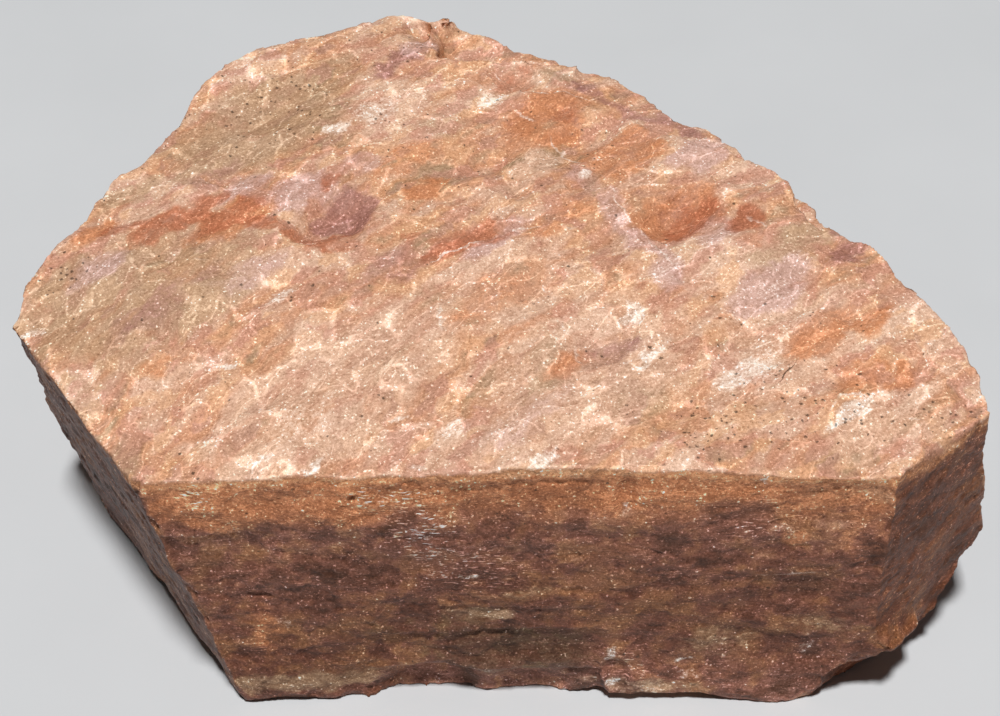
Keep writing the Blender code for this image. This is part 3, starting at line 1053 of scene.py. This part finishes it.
def lightness(tree, stone, rims, painted_glints):
    """How much lighter than its colour each spot is, in doublings: partly the stone's grain and pale rims,
    partly painted light and shade.
    """
    parts = (  # the cause, and its weight on the sides and on the upper face
        (centred(tree, stone.sugar), 3.4, 2.1),
        (soft_step(tree, stone.sugar, 0.60, 0.74), 1.3, 1.0),
        (soft_step(tree, stone.sugar, 0.40, 0.24), -0.7, -0.6),
        (centred(tree, stone.thread), 1.7, 1.2),
        (centred(tree, stone.flake), 0.60, 0.26),
        (centred(tree, stone.slab), 0.40, 0.20),
        # painted highlight on ridges and painted shade in grooves
        (stored(tree, "crest_light_and_groove_shade"), 0.35, 0.25),
        (rims, 0.85, 0.85),
        # painted glints
        (painted_glints, 2.0, 1.15),
        (dash_mask(tree, stone), 1.5, 0.0),
        # painted light and shade of the front face
        (stored(tree, "shade"), 1.0, 1.0),
        # painted glow below the rim
        (stone.rim, 0.3, 0.3),
        # painted shade on the left face
        (stored(tree, "left_face_painted_shade"), -0.9, -0.9),
        # painted shade on the right face
        (stone.rightward, -0.2, -0.2),
    )
    weighed_parts = [(cause, mixed_number(tree, stone.upward, side, top)) for cause, side, top in parts]
    return weighted(tree, *weighed_parts)


def feldspar_material():
    """Peach feldspar with pale flake rims, warm and mauve patches, chalky spots and dark specks, with
    painted glints, highlights, glow and shade.
    """
    material = bpy.data.materials.new("feldspar")
    material.use_nodes = True
    tree = material.node_tree
    stone = stone_sockets(tree)
    chalk = chalk_mask(tree, stone)
    rims = rims_mask(tree, stone)
    painted_glints = painted_glint_mask(tree, stone, rims, chalk)
    tint = with_patches(tree, stone, ground_colour(tree, stone))
    # Chalky white, and painted glints where the white patches lie along the rim.
    tint = blended(tree, product(tree, chalk, 0.7), tint, colour("milk"))
    # The stone's grain tone together with painted light and shade.
    tint = lit(tree, tint, lightness(tree, stone, rims, painted_glints))
    tint = blended(tree, product(tree, dark_mask(tree, stone), 0.8), tint, colour("speck"))
    roughness = weighted(tree, (stone.thread, 0.35), (chalk, 0.2), (painted_glints, -0.2))
    roughness = number(tree, "ADD", roughness, 0.28)
    height = weighted(tree, (stone.thread, 0.3), (stone.sugar, 0.25))
    bump = add(tree, "ShaderNodeBump", {"Height": height, "Distance": BUMP_DEPTH * MM, "Strength": 1.0})

    shader = tree.nodes["Principled BSDF"]
    tree.links.new(tint, shader.inputs["Base Color"])
    tree.links.new(roughness, shader.inputs["Roughness"])
    tree.links.new(bump.outputs[0], shader.inputs["Normal"])
    shader.inputs["Metallic"].default_value = 0.0
    shader.inputs["IOR"].default_value = MINERAL_IOR
    shader.inputs["Specular IOR Level"].default_value = MINERAL_SHINE
    return material


def crystal_surface():
    """The stone as it is seen: the solid's form with its fine relief and colours."""
    mesh = even_copy(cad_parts["crystal"])
    put_relief(mesh)
    mesh = thinned(mesh)
    keep_fields(mesh)
    mesh.materials.clear()
    mesh.materials.append(feldspar_material())
    mesh.shade_smooth()
    piece = bpy.data.objects.new("crystal_surface", mesh)
    bpy.context.scene.collection.objects.link(piece)
    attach(piece, "root")
    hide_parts("crystal")


def table_material():
    """Pale matt card with a faint cloudiness."""
    material = bpy.data.materials.new("pale_card")
    material.use_nodes = True
    tree = material.node_tree
    shader = tree.nodes["Principled BSDF"]
    place = add(tree, "ShaderNodeTexCoord").outputs["Object"]
    cloud = speckle(tree, place, CARD_CLOUD, 3.0)
    tint = blended(tree, cloud, *CARD_TINTS)
    tree.links.new(tint, shader.inputs["Base Color"])
    shader.inputs["Roughness"].default_value = CARD_ROUGHNESS
    return material


def table():
    bm = bmesh.new()
    bmesh.ops.create_grid(bm, x_segments=1, y_segments=1, size=TABLE_SIDE / 2)
    mesh = bpy.data.meshes.new("table")
    bm.to_mesh(mesh)
    bm.free()
    mesh.materials.append(table_material())
    obj = bpy.data.objects.new("table", mesh)
    bpy.context.scene.collection.objects.link(obj)


def camera():
    elevation = math.radians(CAMERA_ELEVATION)
    back = Vector((0, -math.cos(elevation), math.sin(elevation)))
    data = bpy.data.cameras.new("camera")
    data.lens = CAMERA_LENS
    data.clip_start = 0.01
    obj = bpy.data.objects.new("camera", data)
    obj.location = CAMERA_TARGET + back * CAMERA_DISTANCE
    obj.rotation_euler = back.to_track_quat("Z", "Y").to_euler()
    bpy.context.scene.collection.objects.link(obj)
    bpy.context.scene.camera = obj


def lights():
    data = bpy.data.lights.new("softbox", "AREA")
    data.shape = "SQUARE"
    data.size = LAMP_SIDE
    data.energy = LAMP_POWER
    lamp = bpy.data.objects.new("softbox", data)
    lamp.location = LAMP_PLACE
    bpy.context.scene.collection.objects.link(lamp)
    world = bpy.data.worlds.new("room")
    world.use_nodes = True
    background = world.node_tree.nodes["Background"]
    background.inputs["Color"].default_value = (1, 1, 1, 1)
    background.inputs["Strength"].default_value = ROOM_LIGHT
    bpy.context.scene.world = world
    bpy.context.scene.view_settings.view_transform = "Standard"


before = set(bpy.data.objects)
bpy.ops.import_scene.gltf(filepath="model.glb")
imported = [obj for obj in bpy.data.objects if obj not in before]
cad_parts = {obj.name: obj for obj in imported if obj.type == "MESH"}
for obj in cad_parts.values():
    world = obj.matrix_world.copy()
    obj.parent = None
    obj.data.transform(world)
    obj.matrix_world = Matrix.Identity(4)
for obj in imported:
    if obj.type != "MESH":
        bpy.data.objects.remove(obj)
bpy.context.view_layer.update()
camera()
lights()
table()
crystal_surface()
